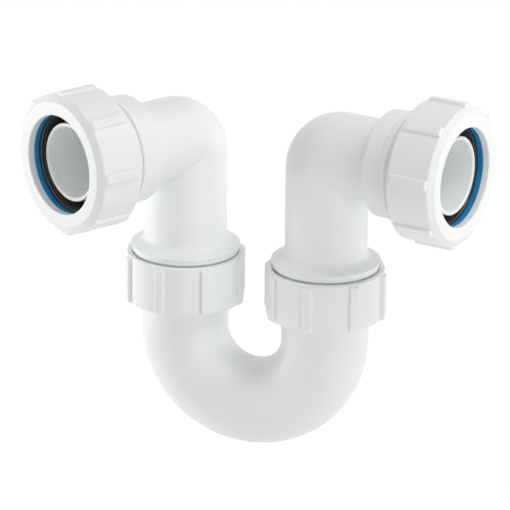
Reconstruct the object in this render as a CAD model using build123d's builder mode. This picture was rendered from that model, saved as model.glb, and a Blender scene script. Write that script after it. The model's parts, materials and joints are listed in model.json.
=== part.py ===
"""Running trap for a 32 mm waste: a one-piece U-bend between two swivelling elbows.

Every joint is a compression joint: a nut with gripping ridges draws a slip washer and a
tapered rubber seal into the mouth of the elbow. The origin is on the inlet's axis, where
the straight wall of its hole starts behind the rounded edge. +Z is up, and the two legs of
the U-bend lie in a plane along X. Sizes are millimetres.
"""

import os
from dataclasses import dataclass

from build123d import *

# Layout
LEG_SPACING = 54.7  # between the axes of the two legs
BEND_DEPTH = 74.2  # arm centreline down to the centre of the U's half circle
INLET_SWING = 56.4  # degrees from -X towards -Y
OUTLET_SWING = 12.4  # degrees from +X towards -Y

# Tubes
PIPE_RADIUS = 18.0  # outside of the waste pipe that each mouth takes
U_TUBE_RADIUS = 16.15
U_WALL = 2.65
ELBOW_TUBE_RADIUS = 15.3
ELBOW_WALL = 2.1
ELBOW_BEND_RADIUS = 6.7  # of the elbow's centreline
INNER_TUBE_WALL = 1.45  # of the stub that stands inside each mouth
INNER_TUBE_SETBACK = 3.8  # from the tightened nut's face back to the stub's end
STUB_LEAD_IN = 0.45

# Clearances
PIPE_CLEARANCE = 0.5  # nut's hole round the pipe
POCKET_CLEARANCE = 0.4  # pipe pocket round the pipe
LEG_CLEARANCE = 0.25  # elbow's skirt round the U-bend's leg
SLIP_CLEARANCE = 0.3  # nut and washer round the leg
SEAL_CLEARANCE = 0.1  # seal round the leg
CONE_CLEARANCE = 0.15  # seal's nose in the mouth's cone
WASHER_STEP = 0.25  # washer's hole wider than the nut's
WASHER_EDGE_GAP = 0.4  # washer inside the nut's bore
WASHER_SEAT_GAP = 0.05  # washer behind the nut's web
THREAD_CLEARANCE = 0.3
LEG_END_GAP = 0.3  # leg's end below the step in the skirt

# Threads
THREAD_DEPTH = 1.0

# Leg end of an elbow, downwards
FLANGE_DROP = 40.2  # arm centreline to the corner where the flange starts
FLANGE_SLOPE = 2.0
FLANGE_RIM = 0.6
FLANGE_OVERHANG = 0.95  # beyond the thread's crest
FLANGE_COLLAR = 1.8
FLANGE_COLLAR_STEP = 0.55  # collar inside the rim
FLANGE_UNDERCUT = 0.4
FLARE_ROUND = 3.0
RIM_ROUND = 0.28
SKIRT_LENGTH = 13.8
SKIRT_WALL = 2.0  # behind the thread's root
LEG_INSERTION = 15.5
UNION_CONE_DEPTH = 3.4
CONE_SHELF = 0.5  # cone's root beyond the bore behind it
UNION_CONE_OPENING = 1.1  # cone's mouth beyond the skirt's bore

# Arm end of an elbow, outwards
ARM_NECK = 23.4  # leg axis to the foot of the socket's shoulder
SHOULDER_LENGTH = 2.0
SHOULDER_ROUND = 1.3
SOCKET_BODY = 7.5
SOCKET_WALL = 1.6  # round the pocket and behind the thread's root
COLLAR_LENGTH = 2.4
COLLAR_STEP = 1.0  # collar beyond the socket's body
COLLAR_RISE = 0.6
COLLAR_ROUND = 0.5
SOCKET_THREAD = 15.9
POCKET_FLOOR = 2.6  # shoulder's end to the pocket's floor
SOCKET_CONE_DEPTH = 8.0
SOCKET_CONE_OPENING = 0.9

# Seals and washers
SEAL_FLANGE = 1.2
SEAL_NOSE_SETBACK = 0.6  # nose short of the cone's root
SEAL_BITE = 0.4  # relaxed seal inside the pipe's radius
SOCKET_LIP_COUNT = 6
SOCKET_LIP_HEIGHT = 0.45
UNION_LIP_COUNT = 3
UNION_LIP_HEIGHT = 0.25
WASHER_THICKNESS = 2.5
UNION_WASHER_THICKNESS = 1.6
WASHER_ROUND = 0.3

# Nuts
NUT_WEB = 2.6
NUT_WALL = 4.7
NUT_STANDOFF = 3.85  # tightened nut's open end beyond the collar
NUT_BEVEL_DEPTH = 2.7  # across the face
NUT_BEVEL_LENGTH = 1.7  # along the side
NUT_BEVEL_ROUND = 1.0
NUT_HOLE_ROUND = 0.4
NUT_RIDGE_SETBACK = 1.4  # from the open end
NUT_RIDGE_END = 1.9  # from the face
UNION_NUT_WEB = 2.6
UNION_NUT_WALL = 2.25
UNION_NUT_STANDOFF = 0.3
UNION_NUT_BEVEL = 1.0
UNION_BEVEL_ROUND = 0.8
UNION_RIDGE_SETBACK = 0.8  # from the open end
UNION_RIDGE_END = 1.0  # from the face
NUT_MOUTH = 0.4  # lead-in at the open end of every nut
NUT_EDGE_ROUND = 0.6
RIDGE_COUNT = 8
RIDGE_WIDTH = 3.6
RIDGE_HEIGHT = 1.3
RIDGE_ROUND = 0.7

# Where each nut came to rest when tightened, degrees
INLET_NUT_TURN = 2.5
OUTLET_NUT_TURN = 35.7
INLET_UNION_TURN = 7.1
OUTLET_UNION_TURN = 0.0

# The inlet's nut, washer and seal stand this much further out, a part of a turn less tight
INLET_BACK_OFF = 1.2

# Radii and stations that follow
u_bore_radius = U_TUBE_RADIUS - U_WALL
elbow_bore_radius = ELBOW_TUBE_RADIUS - ELBOW_WALL
stub_radius = elbow_bore_radius + INNER_TUBE_WALL

skirt_radius = U_TUBE_RADIUS + LEG_CLEARANCE
union_root = skirt_radius + SKIRT_WALL
union_crest = union_root + THREAD_DEPTH
rim_top = FLANGE_DROP + FLANGE_SLOPE
rim_end = rim_top + FLANGE_RIM
rim_radius = union_crest + FLANGE_OVERHANG
flange_end = rim_end + FLANGE_COLLAR
skirt_start = flange_end + FLANGE_UNDERCUT
skirt_end = skirt_start + SKIRT_LENGTH
leg_top = skirt_end - LEG_INSERTION

pocket_radius = PIPE_RADIUS + POCKET_CLEARANCE
socket_root = pocket_radius + SOCKET_WALL
socket_crest = socket_root + THREAD_DEPTH
collar_radius = socket_root + COLLAR_STEP
shoulder_end = ARM_NECK + SHOULDER_LENGTH
collar_start = shoulder_end + SOCKET_BODY
collar_end = collar_start + COLLAR_LENGTH
socket_end = collar_end + SOCKET_THREAD
nut_face = socket_end + SEAL_FLANGE + WASHER_THICKNESS + NUT_WEB
stub_end = nut_face - INNER_TUBE_SETBACK
mouth = nut_face - NUT_HOLE_ROUND  # where the hole's straight wall starts


@dataclass(frozen=True)
class NutForm:
    """Sizes of one nut, along its axis from the elbow outwards."""

    hole: float
    bore: float
    wall: float
    start: float
    shelf: float
    web: float
    mouth: float
    hole_round: float
    bevel_depth: float
    bevel_length: float
    bevel_round: float
    ridge_front: float
    ridge_back: float


union_nut_start = skirt_start + UNION_NUT_STANDOFF
union_nut_shelf = skirt_end + SEAL_FLANGE + UNION_WASHER_THICKNESS
UNION_NUT = NutForm(
    hole=U_TUBE_RADIUS + SLIP_CLEARANCE,
    bore=union_crest + THREAD_CLEARANCE,
    wall=UNION_NUT_WALL,
    start=union_nut_start,
    shelf=union_nut_shelf,
    web=UNION_NUT_WEB,
    mouth=NUT_MOUTH,
    hole_round=NUT_EDGE_ROUND,
    bevel_depth=UNION_NUT_BEVEL,
    bevel_length=UNION_NUT_BEVEL,
    bevel_round=UNION_BEVEL_ROUND,
    ridge_front=union_nut_shelf + UNION_NUT_WEB - UNION_RIDGE_END,
    ridge_back=union_nut_start + UNION_RIDGE_SETBACK,
)
COMPRESSION_NUT = NutForm(
    hole=PIPE_RADIUS + PIPE_CLEARANCE,
    bore=socket_crest + THREAD_CLEARANCE,
    wall=NUT_WALL,
    start=collar_end + NUT_STANDOFF,
    shelf=nut_face - NUT_WEB,
    web=NUT_WEB,
    mouth=NUT_MOUTH,
    hole_round=NUT_HOLE_ROUND,
    bevel_depth=NUT_BEVEL_DEPTH,
    bevel_length=NUT_BEVEL_LENGTH,
    bevel_round=NUT_BEVEL_ROUND,
    ridge_front=nut_face - NUT_RIDGE_END,
    ridge_back=collar_end + NUT_STANDOFF + NUT_RIDGE_SETBACK,
)


@dataclass(frozen=True)
class SealForm:
    """Sizes of one rubber seal and of the cone that it sits in."""

    seat: float
    bore: float
    depth: float
    opening: float
    rim: float
    hole: float
    lips: int
    lip_height: float


UNION_SEAL = SealForm(
    seat=skirt_end,
    bore=skirt_radius,
    depth=UNION_CONE_DEPTH,
    opening=UNION_CONE_OPENING,
    rim=union_root,
    hole=U_TUBE_RADIUS + SEAL_CLEARANCE,
    lips=UNION_LIP_COUNT,
    lip_height=UNION_LIP_HEIGHT,
)
SOCKET_SEAL = SealForm(
    seat=socket_end,
    bore=pocket_radius,
    depth=SOCKET_CONE_DEPTH,
    opening=SOCKET_CONE_OPENING,
    rim=socket_root,
    hole=PIPE_RADIUS - SEAL_BITE,
    lips=SOCKET_LIP_COUNT,
    lip_height=SOCKET_LIP_HEIGHT,
)


def arm_plane(centre: Vector, heading: float) -> Plane:
    """Plane across an arm at the elbow's centre, its normal pointing out of the mouth."""
    outwards = Vector(1, 0, 0).rotate(Axis.Z, heading)
    return Plane(centre, x_dir=Vector(0, 0, 1).cross(outwards), z_dir=outwards)


def leg_plane(centre: Vector) -> Plane:
    """Plane across a leg at the elbow's centre, its normal pointing down."""
    return Plane(centre, x_dir=(1, 0, 0), z_dir=(0, 0, -1))


def axis_of(joint: Plane) -> Axis:
    """Axis of a joint, pointing away from the elbow."""
    return Axis(joint.origin, joint.z_dir)


def section(joint: Plane, *corners: tuple[float, float, float]) -> Sketch:
    """Half section of a turned form, from (radius, distance along the axis, rounding)."""
    half_plane = Plane(joint.origin, x_dir=joint.x_dir, z_dir=joint.x_dir.cross(joint.z_dir))
    with BuildSketch(half_plane) as outline:
        with BuildLine():
            FilletPolyline(
                *[(radius, station) for radius, station, _ in corners],
                radius=[rounding for _, _, rounding in corners],
                close=True,
            )
        make_face()
    return outline.sketch


def elbow_disc(arm: Plane, radius: float) -> Sketch:
    """Disc across the top of the leg, cut off where the elbow turns."""
    level = Plane(arm.origin - Vector(0, 0, ELBOW_BEND_RADIUS), x_dir=arm.z_dir, z_dir=(0, 0, 1))
    reach = 2 * (radius + ELBOW_BEND_RADIUS)
    with BuildSketch(level) as disc:
        Circle(radius)
        with Locations((ELBOW_BEND_RADIUS - reach / 2, 0)):
            Rectangle(reach, reach, mode=Mode.INTERSECT)
    return disc.sketch


def elbow(arm: Plane, leg: Plane) -> BuildPart:
    """Elbow with a flanged skirt below and a pipe socket at the end of its arm."""
    turn = Axis(arm.origin + (arm.z_dir - Vector(0, 0, 1)) * ELBOW_BEND_RADIUS, arm.x_dir)
    leg_outside = section(
        leg,
        (0, ELBOW_BEND_RADIUS, 0),
        (ELBOW_TUBE_RADIUS, ELBOW_BEND_RADIUS, 0),
        (ELBOW_TUBE_RADIUS, FLANGE_DROP, FLARE_ROUND),
        (rim_radius, rim_top, RIM_ROUND),
        (rim_radius, rim_end, RIM_ROUND),
        (rim_radius - FLANGE_COLLAR_STEP, rim_end, 0),
        (rim_radius - FLANGE_COLLAR_STEP, flange_end, 0),
        (union_root, skirt_start, 0),
        (union_root, skirt_end, 0),
        (0, skirt_end, 0),
    )
    leg_inside = section(
        leg,
        (0, leg_top - LEG_END_GAP, 0),
        (skirt_radius, leg_top - LEG_END_GAP, 0),
        (skirt_radius, skirt_end - UNION_CONE_DEPTH, 0),
        (skirt_radius + CONE_SHELF, skirt_end - UNION_CONE_DEPTH, 0),
        (skirt_radius + UNION_CONE_OPENING, skirt_end, 0),
        (0, skirt_end, 0),
    )
    leg_bore = section(
        leg,
        (0, ELBOW_BEND_RADIUS, 0),
        (elbow_bore_radius, ELBOW_BEND_RADIUS, 0),
        (elbow_bore_radius, leg_top, 0),
        (0, leg_top, 0),
    )
    arm_outside = section(
        arm,
        (0, ELBOW_BEND_RADIUS, 0),
        (ELBOW_TUBE_RADIUS, ELBOW_BEND_RADIUS, 0),
        (ELBOW_TUBE_RADIUS, ARM_NECK, SHOULDER_ROUND),
        (socket_root, shoulder_end, SHOULDER_ROUND),
        (socket_root, collar_start, 0),
        (collar_radius, collar_start + COLLAR_RISE, COLLAR_ROUND),
        (collar_radius, collar_end, COLLAR_ROUND),
        (socket_root, collar_end, 0),
        (socket_root, socket_end, 0),
        (stub_radius, socket_end, 0),
        (stub_radius, stub_end, STUB_LEAD_IN),
        (0, stub_end, 0),
    )
    pocket = section(
        arm,
        (stub_radius, shoulder_end + POCKET_FLOOR, 0),
        (pocket_radius, shoulder_end + POCKET_FLOOR, 0),
        (pocket_radius, socket_end - SOCKET_CONE_DEPTH, 0),
        (pocket_radius + CONE_SHELF, socket_end - SOCKET_CONE_DEPTH, 0),
        (pocket_radius + SOCKET_CONE_OPENING, socket_end, 0),
        (stub_radius, socket_end, 0),
    )
    arm_bore = section(
        arm,
        (0, ELBOW_BEND_RADIUS, 0),
        (elbow_bore_radius, ELBOW_BEND_RADIUS, 0),
        (elbow_bore_radius, stub_end - STUB_LEAD_IN, 0),
        (elbow_bore_radius + STUB_LEAD_IN, stub_end, 0),
        (0, stub_end, 0),
    )
    with BuildPart() as moulding:
        revolve(leg_outside, axis=axis_of(leg))
        revolve(elbow_disc(arm, ELBOW_TUBE_RADIUS), axis=turn, revolution_arc=90)
        revolve(arm_outside, axis=axis_of(arm))
        revolve(leg_inside, axis=axis_of(leg), mode=Mode.SUBTRACT)
        revolve(leg_bore, axis=axis_of(leg), mode=Mode.SUBTRACT)
        revolve(elbow_disc(arm, elbow_bore_radius), axis=turn, revolution_arc=90, mode=Mode.SUBTRACT)
        revolve(arm_bore, axis=axis_of(arm), mode=Mode.SUBTRACT)
        revolve(pocket, axis=axis_of(arm), mode=Mode.SUBTRACT)
    return moulding


def nut(joint: Plane, form: NutForm, turn: float) -> BuildPart:
    """Nut with an inward web at its outer end and ridges to grip it by."""
    body = form.bore + form.wall
    face = form.shelf + form.web
    ridge_section = section(
        joint,
        (0, form.ridge_back, 0),
        (body + RIDGE_HEIGHT, form.ridge_back, RIDGE_ROUND),
        (body + RIDGE_HEIGHT, form.ridge_front, RIDGE_ROUND),
        (0, form.ridge_front, 0),
    )
    outside = section(
        joint,
        (0, form.start, 0),
        (body, form.start, NUT_EDGE_ROUND),
        (body, face - form.bevel_length, form.bevel_round),
        (body - form.bevel_depth, face, form.bevel_round),
        (form.hole, face, form.hole_round),
        (form.hole, form.shelf, 0),
        (0, form.shelf, 0),
    )
    cavity = section(
        joint,
        (0, form.start, 0),
        (form.bore + form.mouth, form.start, 0),
        (form.bore, form.start + form.mouth, 0),
        (form.bore, form.shelf, 0),
        (0, form.shelf, 0),
    )
    with BuildPart() as moulding:
        with BuildSketch(joint.offset(form.ridge_back)):
            with PolarLocations(body, RIDGE_COUNT, start_angle=turn):
                RectangleRounded(2 * RIDGE_HEIGHT, RIDGE_WIDTH, RIDGE_ROUND)
        extrude(amount=form.ridge_front - form.ridge_back)
        revolve(ridge_section, axis=axis_of(joint), mode=Mode.INTERSECT)
        revolve(outside, axis=axis_of(joint))
        revolve(cavity, axis=axis_of(joint), mode=Mode.SUBTRACT)
    return moulding


def washer(joint: Plane, form: NutForm, hole: float, thickness: float) -> BuildPart:
    """Slip washer between the nut's web and the seal."""
    ring_section = section(
        joint,
        (hole, form.shelf - thickness, WASHER_ROUND),
        (form.bore - WASHER_EDGE_GAP, form.shelf - thickness, WASHER_ROUND),
        (form.bore - WASHER_EDGE_GAP, form.shelf - WASHER_SEAT_GAP, WASHER_ROUND),
        (hole, form.shelf - WASHER_SEAT_GAP, WASHER_ROUND),
    )
    with BuildPart() as ring:
        revolve(ring_section, axis=axis_of(joint))
    return ring


def seal(joint: Plane, form: SealForm) -> BuildPart:
    """Rubber ring: a flange on the mouth's end, a nose in its cone and lips in its hole."""
    nose = form.seat - form.depth + SEAL_NOSE_SETBACK
    cone_slope = (form.opening - CONE_SHELF) / form.depth
    nose_radius = form.bore + CONE_SHELF + cone_slope * SEAL_NOSE_SETBACK - CONE_CLEARANCE
    front = form.seat + SEAL_FLANGE
    lip_pitch = (front - nose) / form.lips
    valley = form.hole + form.lip_height
    lips = []
    for lip in range(form.lips):
        lips.append((valley, front - lip * lip_pitch, 0))
        lips.append((form.hole, front - (lip + 1 / 2) * lip_pitch, form.lip_height))
    ring_section = section(
        joint,
        *lips,
        (valley, nose, 0),
        (nose_radius, nose, 0),
        (form.bore + form.opening - CONE_CLEARANCE, form.seat, 0),
        (form.rim, form.seat, 0),
        (form.rim, front, 0),
    )
    with BuildPart() as ring:
        revolve(ring_section, axis=axis_of(joint))
    return ring


def write(piece: BuildPart, name: str) -> None:
    """Name a finished piece and write it."""
    piece.part.label = name
    export_step(piece.part, f"parts/{name}.step")


os.makedirs("parts", exist_ok=True)

inlet_heading = 180 + INLET_SWING
inlet_centre = Vector(-mouth - INLET_BACK_OFF, 0, 0).rotate(Axis.Z, inlet_heading)
outlet_centre = inlet_centre + Vector(LEG_SPACING, 0, 0)
inlet_arm = arm_plane(inlet_centre, inlet_heading)
outlet_arm = arm_plane(outlet_centre, -OUTLET_SWING)

# U-bend: two straight legs and a half circle
bend_level = Plane(inlet_centre - Vector(0, 0, BEND_DEPTH))
bend_axis = Axis(bend_level.origin + Vector(LEG_SPACING / 2, 0, 0), (0, -1, 0))
with BuildPart() as u_bend:
    with BuildSketch(bend_level) as inlet_leg:
        Circle(U_TUBE_RADIUS)
        Circle(u_bore_radius, mode=Mode.SUBTRACT)
    revolve(inlet_leg.sketch, axis=bend_axis, revolution_arc=180)
    with BuildSketch(bend_level) as both_legs:
        with Locations((0, 0), (LEG_SPACING, 0)):
            Circle(U_TUBE_RADIUS)
            Circle(u_bore_radius, mode=Mode.SUBTRACT)
    extrude(both_legs.sketch, amount=BEND_DEPTH - leg_top)
write(u_bend, "u_bend")

# The same joints at the inlet and at the outlet
for side, centre, arm, back_off, nut_turn, union_turn in (
    ("inlet", inlet_centre, inlet_arm, INLET_BACK_OFF, INLET_NUT_TURN, INLET_UNION_TURN),
    ("outlet", outlet_centre, outlet_arm, 0, OUTLET_NUT_TURN, OUTLET_UNION_TURN),
):
    leg = leg_plane(centre)
    stack = arm.offset(back_off)
    write(elbow(arm, leg), f"{side}_elbow")
    write(nut(stack, COMPRESSION_NUT, nut_turn), f"{side}_nut")
    washer_hole = COMPRESSION_NUT.hole + WASHER_STEP
    write(washer(stack, COMPRESSION_NUT, washer_hole, WASHER_THICKNESS), f"{side}_washer")
    write(seal(stack, SOCKET_SEAL), f"{side}_seal")
    write(nut(leg, UNION_NUT, union_turn), f"{side}_union_nut")
    write(washer(leg, UNION_NUT, UNION_NUT.hole, UNION_WASHER_THICKNESS), f"{side}_union_washer")
    write(seal(leg, UNION_SEAL), f"{side}_union_seal")
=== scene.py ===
"""Running trap in white polypropylene: finishes, moulded threads and the studio round it.

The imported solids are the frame. This script gives them their finishes, adds the thread
ridges between the nuts and the elbows, and sets up floor, lamps and camera.
"""

import json
import logging
import math
from dataclasses import dataclass
from enum import Enum

import bpy
from mathutils import Matrix, Vector


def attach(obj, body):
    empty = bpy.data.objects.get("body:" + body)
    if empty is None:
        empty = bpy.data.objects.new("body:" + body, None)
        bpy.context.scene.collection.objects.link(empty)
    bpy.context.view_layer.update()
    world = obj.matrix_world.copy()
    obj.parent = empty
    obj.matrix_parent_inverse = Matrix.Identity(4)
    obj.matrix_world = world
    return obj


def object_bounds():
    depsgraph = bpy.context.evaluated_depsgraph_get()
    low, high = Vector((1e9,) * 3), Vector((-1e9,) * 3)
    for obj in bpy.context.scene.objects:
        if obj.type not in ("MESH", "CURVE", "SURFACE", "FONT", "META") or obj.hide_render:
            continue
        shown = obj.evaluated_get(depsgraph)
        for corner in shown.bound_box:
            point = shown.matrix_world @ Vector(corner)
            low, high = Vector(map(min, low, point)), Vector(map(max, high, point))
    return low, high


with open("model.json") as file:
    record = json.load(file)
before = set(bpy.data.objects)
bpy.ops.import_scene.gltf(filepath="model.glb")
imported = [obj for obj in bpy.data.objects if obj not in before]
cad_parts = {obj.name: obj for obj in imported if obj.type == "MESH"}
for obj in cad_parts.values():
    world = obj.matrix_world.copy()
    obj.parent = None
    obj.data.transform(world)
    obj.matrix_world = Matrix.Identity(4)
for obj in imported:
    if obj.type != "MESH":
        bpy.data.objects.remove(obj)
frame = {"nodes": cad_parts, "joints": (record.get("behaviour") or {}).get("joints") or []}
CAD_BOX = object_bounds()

log = logging.getLogger("running_trap")

MM = 0.001
FULL_TURN = 2 * math.pi
ORIGIN = (0, 0, 0)
WHITE = "#FFFFFF"

# Colour sockets of a Mix node, by number because several share a name
MIX_FIRST = 6
MIX_SECOND = 7
MIX_RESULT = 2

# Where a noise texture's values mostly lie
NOISE_LOW = 0.3
NOISE_HIGH = 0.7

# Corners of a thread ridge's section, and the angle in degrees over which its edges stay sharp
SECTION_CORNERS = 4
SHARP_EDGE = 25

# Enough bounces to carry the light down the white bores
LIGHT_BOUNCES = 16


class Side(Enum):
    """The two ends of the trap."""

    INLET = "inlet"
    OUTLET = "outlet"


class Grip(Enum):
    """The two kinds of nut: round the pipe at a mouth, or round a leg of the U-bend."""

    MOUTH = ""
    UNION = "_union"


def srgb(code: str) -> tuple[float, float, float, float]:
    """Turn an sRGB hex colour into a linear one.

    Args:
        code: Six hex digits after a hash.

    Returns:
        Linear red, green, blue and an alpha of 1.
    """
    channels = [int(code[k : k + 2], 16) / 255 for k in (1, 3, 5)]
    linear = [c / 12.92 if c <= 0.04045 else ((c + 0.055) / 1.055) ** 2.4 for c in channels]
    return (linear[0], linear[1], linear[2], 1.0)


def per_metre(size_mm: float) -> float:
    """Pattern scale whose features are size_mm across."""
    return 1 / (size_mm * MM)


def add_node(
    tree: bpy.types.NodeTree,
    kind: str,
    settings: dict[str, object] | None = None,
    values: dict[str | int, object] | None = None,
    links: dict[str | int, bpy.types.NodeSocket] | None = None,
) -> bpy.types.Node:
    """Add one node with its settings, socket values and incoming links.

    Args:
        tree: Node tree that takes the node.
        kind: Blender's type name of the node.
        settings: Properties of the node itself.
        values: Socket values by name or number.
        links: Output sockets to join to its inputs, by name or number.

    Returns:
        The new node.
    """
    node = tree.nodes.new(kind)
    for name, value in (settings or {}).items():
        setattr(node, name, value)
    for name, value in (values or {}).items():
        node.inputs[name].default_value = value
    for name, socket in (links or {}).items():
        tree.links.new(socket, node.inputs[name])
    return node


@dataclass(frozen=True)
class MouldedFinish:
    """A moulded surface: two close tints, an uneven gloss and a fine relief.

    Lengths are millimetres.
    """

    name: str
    tint: str
    shade: str
    tint_patch: float
    gloss: tuple[float, float]
    gloss_patch: float
    relief_grain: float
    relief_depth: float
    ior: float
    specular: float
    subsurface: float = 0.0
    subsurface_reach: float = 1.0

    def material(self) -> bpy.types.Material:
        """Build the finish as a node material on Object coordinates.

        Returns:
            The material, ready for a slot.
        """
        made = bpy.data.materials.new(self.name)
        made.use_nodes = True
        made.diffuse_color = srgb(self.tint)
        tree = made.node_tree
        tree.nodes.clear()
        place = add_node(tree, "ShaderNodeTexCoord").outputs["Object"]
        patches = add_node(
            tree,
            "ShaderNodeTexNoise",
            values={"Scale": per_metre(self.tint_patch), "Detail": 3.0, "Roughness": 0.5},
            links={"Vector": place},
        )
        # Tint and shade mixed in random patches; on the rubber the light-grey patches are partly
        # painted highlight
        colour = add_node(
            tree,
            "ShaderNodeMix",
            settings={"data_type": "RGBA"},
            values={MIX_FIRST: srgb(self.tint), MIX_SECOND: srgb(self.shade)},
            links={0: patches.outputs["Fac"]},
        )
        sheen = add_node(
            tree,
            "ShaderNodeTexNoise",
            values={"Scale": per_metre(self.gloss_patch), "Detail": 4.0, "Roughness": 0.6},
            links={"Vector": place},
        )
        gloss = add_node(
            tree,
            "ShaderNodeMapRange",
            values={
                "From Min": NOISE_LOW,
                "From Max": NOISE_HIGH,
                "To Min": self.gloss[0],
                "To Max": self.gloss[1],
            },
            links={"Value": sheen.outputs["Fac"]},
        )
        grain = add_node(
            tree,
            "ShaderNodeTexNoise",
            values={"Scale": per_metre(self.relief_grain), "Detail": 2.0, "Roughness": 0.5},
            links={"Vector": place},
        )
        relief = add_node(
            tree,
            "ShaderNodeBump",
            values={"Strength": 1.0, "Distance": self.relief_depth * MM},
            links={"Height": grain.outputs["Fac"]},
        )
        shader = add_node(
            tree,
            "ShaderNodeBsdfPrincipled",
            values={
                "IOR": self.ior,
                "Specular IOR Level": self.specular,
                "Subsurface Weight": self.subsurface,
                "Subsurface Radius": (1.0, 0.95, 0.9),
                "Subsurface Scale": self.subsurface_reach * MM,
            },
            links={
                "Base Color": colour.outputs[MIX_RESULT],
                "Roughness": gloss.outputs["Result"],
                "Normal": relief.outputs["Normal"],
            },
        )
        add_node(tree, "ShaderNodeOutputMaterial", links={"Surface": shader.outputs["BSDF"]})
        return made


# White polypropylene, injection moulded: a slightly waxy, cool white with a soft broad
# highlight, and a faint orange-peel that keeps the highlight from being glassy.
WHITE_POLYPROPYLENE = MouldedFinish(
    name="white_polypropylene_moulded",
    tint="#F4F6F5",
    shade="#F0F3F2",
    tint_patch=45.0,
    gloss=(0.36, 0.44),
    gloss_patch=14.0,
    relief_grain=1.6,
    relief_depth=0.012,
    ior=1.49,
    specular=0.5,
    subsurface=0.08,
    subsurface_reach=1.2,
)

# Blue polyethylene, injection moulded: a strong blue with a waxy satin surface.
BLUE_POLYETHYLENE = MouldedFinish(
    name="blue_polyethylene_moulded",
    tint="#1999D6",
    shade="#158BC8",
    tint_patch=9.0,
    gloss=(0.4, 0.5),
    gloss_patch=5.0,
    relief_grain=0.9,
    relief_depth=0.01,
    ior=1.51,
    specular=0.5,
)

# Black synthetic rubber, compression moulded, half matt: charcoal mixed with fine light-grey
# speckles, partly the rubber's own greyer tone and partly painted highlight standing in for the
# glints on its ribs.
BLACK_RUBBER = MouldedFinish(
    name="black_rubber_moulded",
    tint="#1C1B1A",
    # light-grey speckle colour: partly the rubber's own tone, partly painted highlight
    shade="#57534F",
    tint_patch=0.8,
    gloss=(0.34, 0.46),
    gloss_patch=3.0,
    relief_grain=0.5,
    relief_depth=0.015,
    ior=1.52,
    specular=0.4,
)


class Palette:
    """The trap's three finishes by the record's slot name."""

    def __init__(self) -> None:
        """Build each material once."""
        self.by_slot: dict[str, bpy.types.Material] = {
            "white_polypropylene": WHITE_POLYPROPYLENE.material(),
            "blue_polyethylene": BLUE_POLYETHYLENE.material(),
            "black_rubber": BLACK_RUBBER.material(),
        }

    def dress_node(self, node: str) -> None:
        """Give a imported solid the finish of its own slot.

        Args:
            node: Name of the solid.
        """
        piece = frame["nodes"][node]
        for holder in piece.material_slots:
            holder.material = self.by_slot[holder.material.name.split(".")[0]]
        log.info("finish on %s", node)

    def dress_piece(self, piece: bpy.types.Object, slot: str) -> None:
        """Give a new piece the finish of the record's slot.

        Args:
            piece: The modelled piece.
            slot: The record's slot name.
        """
        piece.data.materials.clear()
        piece.data.materials.append(self.by_slot[slot])


def deselect_everything() -> None:
    """Leave edit mode and clear the selection."""
    if bpy.context.mode != "OBJECT":
        bpy.ops.object.mode_set(mode="OBJECT")
    bpy.ops.object.select_all(action="DESELECT")


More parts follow.
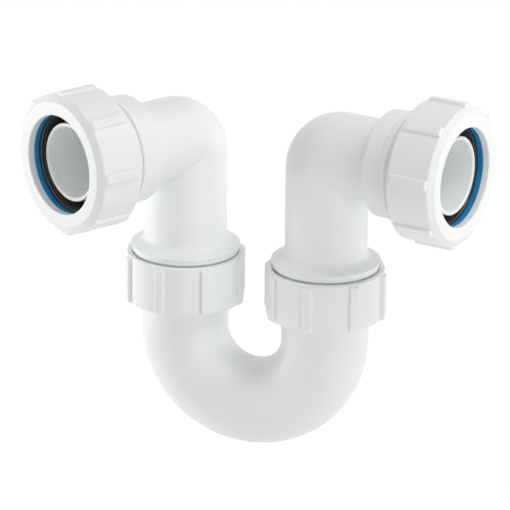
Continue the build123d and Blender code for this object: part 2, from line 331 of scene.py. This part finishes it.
@dataclass
class ThreadRidge:
    """One helical ridge of a moulded right-hand thread, millimetres along and across its axis."""

    name: str
    body: str
    centre: Vector
    axis: Vector
    foot: float
    crest: float
    start: float
    end: float
    pitch: float
    lead: float
    foot_width: float
    crest_width: float
    steps_per_turn: int = 72
    fade: float = 0.2

    def build(self) -> bpy.types.Object:
        """Model the ridge: its section is screwed along the axis and fades out at both ends.

        Returns:
            The finished piece, riding on its body.
        """
        piece = self._section()
        self._wind(piece)
        self._fade_out(piece)
        self._finish(piece)
        self._place(piece)
        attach(piece, self.body)
        log.info("thread ridge %s on %s", self.name, self.body)
        return piece

    def _section(self) -> bpy.types.Object:
        """Draw the ridge's tapered section as a closed loop in the XZ plane.

        Returns:
            The object that holds the loop.
        """
        deselect_everything()
        bpy.ops.mesh.primitive_plane_add(size=1.0, rotation=(math.pi / 2, 0, 0))
        piece = bpy.context.active_object
        piece.name = self.name
        piece.data.name = self.name
        bpy.ops.object.transform_apply(location=True, rotation=True, scale=True)
        height = self.crest - self.foot
        bpy.ops.object.mode_set(mode="EDIT")
        bpy.ops.mesh.select_all(action="SELECT")
        size = (abs(height) * MM, 1, self.foot_width * MM)
        bpy.ops.transform.resize(value=size, center_override=ORIGIN)
        bpy.ops.mesh.delete(type="ONLY_FACE")
        bpy.ops.mesh.select_all(action="DESELECT")
        bpy.ops.object.mode_set(mode="OBJECT")
        for corner in piece.data.vertices:
            corner.select = corner.co.x * height > 0
        bpy.ops.object.mode_set(mode="EDIT")
        taper = (1, 1, self.crest_width / self.foot_width)
        bpy.ops.transform.resize(value=taper, center_override=ORIGIN)
        bpy.ops.mesh.select_all(action="SELECT")
        middle = (self.foot + self.crest) / 2
        bpy.ops.transform.translate(value=(middle * MM, 0, self.start * MM))
        bpy.ops.object.mode_set(mode="OBJECT")
        return piece

    def _wind(self, piece: bpy.types.Object) -> None:
        """Screw the section up the axis.

        Args:
            piece: Object that holds the section.
        """
        turns = (self.end - self.start) / self.pitch
        screw = piece.modifiers.new("wind", "SCREW")
        screw.axis = "Z"
        screw.angle = FULL_TURN * turns
        screw.screw_offset = (self.end - self.start) * MM
        screw.steps = round(self.steps_per_turn * turns)
        screw.render_steps = screw.steps
        screw.use_merge_vertices = False
        bpy.ops.object.modifier_apply(modifier=screw.name)

    def _fade_out(self, piece: bpy.types.Object) -> None:
        """Sink the ridge into its wall over the last part of a turn at each end.

        Args:
            piece: Object that holds the wound ridge.
        """
        rise = self.pitch * MM / FULL_TURN
        span = (self.end - self.start) * MM / rise
        reach = FULL_TURN * self.fade
        for point in piece.data.vertices:
            radius = math.hypot(point.co.x, point.co.y)
            angle = math.atan2(point.co.y, point.co.x)
            climb = (point.co.z - self.start * MM) / rise
            wound = angle + FULL_TURN * round((climb - angle) / FULL_TURN)
            share = max(0.0, min(1.0, wound / reach, (span - wound) / reach))
            eased = share * share * (3 - 2 * share)
            target = self.foot * MM + (radius - self.foot * MM) * eased
            point.co.x *= target / radius
            point.co.y *= target / radius

    def _finish(self, piece: bpy.types.Object) -> None:
        """Close the ends, face everything outwards and smooth all but the edges.

        Args:
            piece: Object that holds the ridge.
        """
        deselect_everything()
        piece.select_set(True)
        bpy.context.view_layer.objects.active = piece
        bpy.ops.object.mode_set(mode="EDIT")
        bpy.ops.mesh.select_all(action="SELECT")
        bpy.ops.mesh.fill_holes(sides=SECTION_CORNERS)
        bpy.ops.mesh.select_all(action="SELECT")
        bpy.ops.mesh.normals_make_consistent(inside=False)
        bpy.ops.object.mode_set(mode="OBJECT")
        bpy.ops.object.shade_smooth_by_angle(angle=math.radians(SHARP_EDGE))

    def _place(self, piece: bpy.types.Object) -> None:
        """Turn the ridge onto its joint's axis and leave the object itself unturned.

        Args:
            piece: Object that holds the ridge.
        """
        turn = Vector((0, 0, 1)).rotation_difference(self.axis).to_matrix().to_4x4()
        spin = Matrix.Rotation(FULL_TURN * self.lead, 4, "Z")
        piece.matrix_world = Matrix.Translation(self.centre) @ turn @ spin
        bpy.ops.object.transform_apply(location=True, rotation=True, scale=True)


@dataclass
class ThreadedJoint:
    """A nut on a threaded end of an elbow, with its slip washer and seal.

    Radii and stations along the joint's axis are millimetres.
    """

    side: Side
    grip: Grip
    root: float
    bore: float
    male_start: float
    male_end: float
    nut_start: float
    nut_end: float
    back_off: float = 0.0
    pitch: float = 3.0
    male_height: float = 1.0
    female_height: float = 0.95
    bedding: float = 0.12
    foot_width: float = 1.8
    crest_width: float = 0.75

    @property
    def stem(self) -> str:
        """Start of the names of this joint's pieces."""
        return self.side.value + self.grip.value

    def _line(self) -> tuple[Vector, Vector]:
        """Centre and outward axis of the nut's own joint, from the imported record."""
        turn = next(j for j in frame["joints"] if j["name"] == f"{self.stem}_nut_turn")
        return Vector(turn["pos_m"]), Vector(turn["axis"]).normalized()

    def build(self, palette: Palette) -> None:
        """Add the two thread ridges and give the joint's solids their finishes.

        Args:
            palette: The trap's finishes.
        """
        centre, axis = self._line()
        male = ThreadRidge(
            name=f"{self.stem}_elbow_thread",
            body=f"{self.side.value}_elbow",
            centre=centre,
            axis=axis,
            foot=self.root - self.bedding,
            crest=self.root + self.male_height,
            start=self.male_start,
            end=self.male_end,
            pitch=self.pitch,
            lead=0.0,
            foot_width=self.foot_width,
            crest_width=self.crest_width,
        )
        # The nut's ridge winds through the groove, half a pitch from the elbow's ridge.
        nut_start = self.nut_start + self.back_off
        offset = (nut_start - self.male_start) / self.pitch - 0.5
        female = ThreadRidge(
            name=f"{self.stem}_nut_thread",
            body=f"{self.stem}_nut",
            centre=centre,
            axis=axis,
            foot=self.bore + self.bedding,
            crest=self.bore - self.female_height,
            start=nut_start,
            end=self.nut_end + self.back_off,
            pitch=self.pitch,
            lead=offset,
            foot_width=self.foot_width,
            crest_width=self.crest_width,
        )
        for ridge in (male, female):
            palette.dress_piece(ridge.build(), "white_polypropylene")
        for part in ("nut", "washer", "seal"):
            palette.dress_node(f"{self.stem}_{part}")


@dataclass
class Waterway:
    """The mouldings that carry the water: U-bend and elbows."""

    nodes: tuple[str, ...] = ("u_bend", "inlet_elbow", "outlet_elbow")

    def dress(self, palette: Palette) -> None:
        """Give the mouldings their finish.

        Args:
            palette: The trap's finishes.
        """
        for node in self.nodes:
            palette.dress_node(node)


@dataclass
class Softbox:
    """One large square lamp, its place given from the camera's side in metres."""

    name: str
    right: float
    forward: float
    up: float
    width: float
    power: float


@dataclass
class Studio:
    """Pale floor, soft lamps and the camera at the photograph's angle."""

    elevation: float = 19.966
    azimuth: float = 17.894
    roll: float = 0.601
    distance: float = 2.1
    lens: float = 399.4
    sensor: float = 36.0
    aim: tuple[float, float, float] = (0.059455, 0.048508, -0.044184)
    ambient: float = 0.56
    floor_drop: float = 0.16
    floor_size: float = 12.0
    floor_white: str = "#F4F4F4"
    floor_glow: float = 0.9
    floor_catch: str = "#6E6E6E"
    # Bright from both sides and a little from behind, softer from the front and from above
    lamps: tuple[Softbox, ...] = (
        Softbox("softbox_left", -0.98, -0.26, -0.05, 0.4, 4.3),
        Softbox("softbox_right", 0.98, -0.26, -0.05, 0.4, 1.6),
        Softbox("softbox_front", 0.58, 0.8, -0.14, 0.3, 1.5),
        Softbox("softbox_high", 0.5, 0.3, 0.85, 0.5, 2.9),
    )

    def _directions(self) -> tuple[Vector, Vector, Vector]:
        """Camera's forward, right and up directions without its roll."""
        turn = math.radians(self.azimuth)
        tilt = math.radians(self.elevation)
        level = Vector((-math.sin(turn), math.cos(turn), 0))
        forward = level * math.cos(tilt) - Vector((0, 0, math.sin(tilt)))
        right = Vector((math.cos(turn), math.sin(turn), 0))
        return forward, right, right.cross(forward)

    def build(self) -> None:
        """Set up the world, floor, lamps, camera and view transform."""
        bpy.context.scene.view_settings.view_transform = "Standard"
        bpy.context.scene.cycles.max_bounces = LIGHT_BOUNCES
        bpy.context.scene.cycles.diffuse_bounces = LIGHT_BOUNCES
        self._world()
        self._floor()
        for lamp in self.lamps:
            self._lamp(lamp)
        self._camera()

    def _bright_rays(self, tree: bpy.types.NodeTree) -> bpy.types.NodeSocket:
        """Socket that is 1 for camera, glossy and transmission rays.

        Args:
            tree: Node tree to add the nodes to.

        Returns:
            The output socket.
        """
        path = add_node(tree, "ShaderNodeLightPath")
        seen = path.outputs["Is Camera Ray"]
        for kind in ("Is Glossy Ray", "Is Transmission Ray"):
            either = add_node(
                tree,
                "ShaderNodeMath",
                settings={"operation": "MAXIMUM"},
                links={0: seen, 1: path.outputs[kind]},
            )
            seen = either.outputs[0]
        return seen

    def _world(self) -> None:
        """White surroundings to the eye, a plain grey ambient light on the object."""
        world = bpy.data.worlds.new("studio")
        bpy.context.scene.world = world
        world.use_nodes = True
        tree = world.node_tree
        tree.nodes.clear()
        level = add_node(
            tree,
            "ShaderNodeMapRange",
            values={"To Min": self.ambient, "To Max": 1.0},
            links={"Value": self._bright_rays(tree)},
        )
        sky = add_node(
            tree,
            "ShaderNodeBackground",
            values={"Color": srgb(WHITE)},
            links={"Strength": level.outputs["Result"]},
        )
        add_node(tree, "ShaderNodeOutputWorld", links={"Surface": sky.outputs["Background"]})

    def _floor(self) -> None:
        """Plain pale floor well under the trap, white to the eye but for the trap's shadow."""
        deselect_everything()
        low = CAD_BOX[0].z - self.floor_drop
        middle = (self.aim[0], self.aim[1], low)
        bpy.ops.mesh.primitive_plane_add(size=self.floor_size, location=middle)
        floor = bpy.context.active_object
        floor.name = "floor"
        bpy.ops.object.transform_apply(location=True, rotation=True, scale=True)
        paper = bpy.data.materials.new("matt_white_paper")
        paper.use_nodes = True
        tree = paper.node_tree
        tree.nodes.clear()
        sheet = add_node(tree, "ShaderNodeBsdfDiffuse", values={"Color": srgb(self.floor_white)})
        catch = add_node(tree, "ShaderNodeBsdfDiffuse", values={"Color": srgb(self.floor_catch)})
        glow = add_node(
            tree,
            "ShaderNodeEmission",
            values={"Color": srgb(WHITE), "Strength": self.floor_glow},
        )
        shown = add_node(
            tree,
            "ShaderNodeAddShader",
            links={0: catch.outputs["BSDF"], 1: glow.outputs["Emission"]},
        )
        either = add_node(
            tree,
            "ShaderNodeMixShader",
            links={
                0: self._bright_rays(tree),
                1: sheet.outputs["BSDF"],
                2: shown.outputs["Shader"],
            },
        )
        add_node(tree, "ShaderNodeOutputMaterial", links={"Surface": either.outputs["Shader"]})
        floor.data.materials.append(paper)
        log.info("floor at %.3f m", low)

    def _lamp(self, box: Softbox) -> None:
        """Hang one softbox and turn it to the trap.

        Args:
            box: Its place, width and power.
        """
        forward, right, _ = self._directions()
        level = Vector((forward.x, forward.y, 0)).normalized()
        aim = Vector(self.aim)
        place = aim + right * box.right - level * box.forward + Vector((0, 0, box.up))
        light = bpy.data.lights.new(box.name, "AREA")
        light.shape = "SQUARE"
        light.size = box.width
        light.energy = box.power
        lamp = bpy.data.objects.new(box.name, light)
        bpy.context.scene.collection.objects.link(lamp)
        lamp.location = place
        lamp.rotation_euler = (aim - place).to_track_quat("-Z", "Y").to_euler()
        log.info("lamp %s", box.name)

    def _camera(self) -> None:
        """Stand the camera where the photograph was taken from."""
        forward, right, up = self._directions()
        lean = math.radians(self.roll)
        across = right * math.cos(lean) + up * math.sin(lean)
        upward = up * math.cos(lean) - right * math.sin(lean)
        place = Vector(self.aim) - forward * self.distance
        eye = bpy.data.cameras.new("photograph")
        eye.sensor_width = self.sensor
        eye.lens = self.lens
        camera = bpy.data.objects.new("photograph", eye)
        bpy.context.scene.collection.objects.link(camera)
        axes = Matrix((across, upward, -forward)).transposed().to_4x4()
        camera.matrix_world = Matrix.Translation(place) @ axes
        bpy.context.scene.camera = camera
        log.info("camera %.0f mm", self.lens)


# Thread sizes of the two kinds of joint
MOUTH_SIZES = dict(
    root=20.0,
    bore=21.3,
    male_start=39.6,
    male_end=50.4,
    nut_start=40.65,
    nut_end=50.6,
)
UNION_SIZES = dict(
    root=18.4,
    bore=19.7,
    male_start=46.5,
    male_end=57.9,
    nut_start=47.0,
    nut_end=58.0,
)
# The inlet's nut is part of a turn less tight than the outlet's, millimetres further out.
INLET_BACK_OFF = 1.2


def main() -> None:
    """Build the trap's looks in order."""
    logging.basicConfig(level=logging.INFO, format="%(name)s: %(message)s")
    palette = Palette()
    Waterway().dress(palette)
    for side, back_off in ((Side.INLET, INLET_BACK_OFF), (Side.OUTLET, 0.0)):
        ThreadedJoint(side=side, grip=Grip.MOUTH, back_off=back_off, **MOUTH_SIZES).build(palette)
        ThreadedJoint(side=side, grip=Grip.UNION, **UNION_SIZES).build(palette)
    Studio().build()


if __name__ == "__main__":
    main()
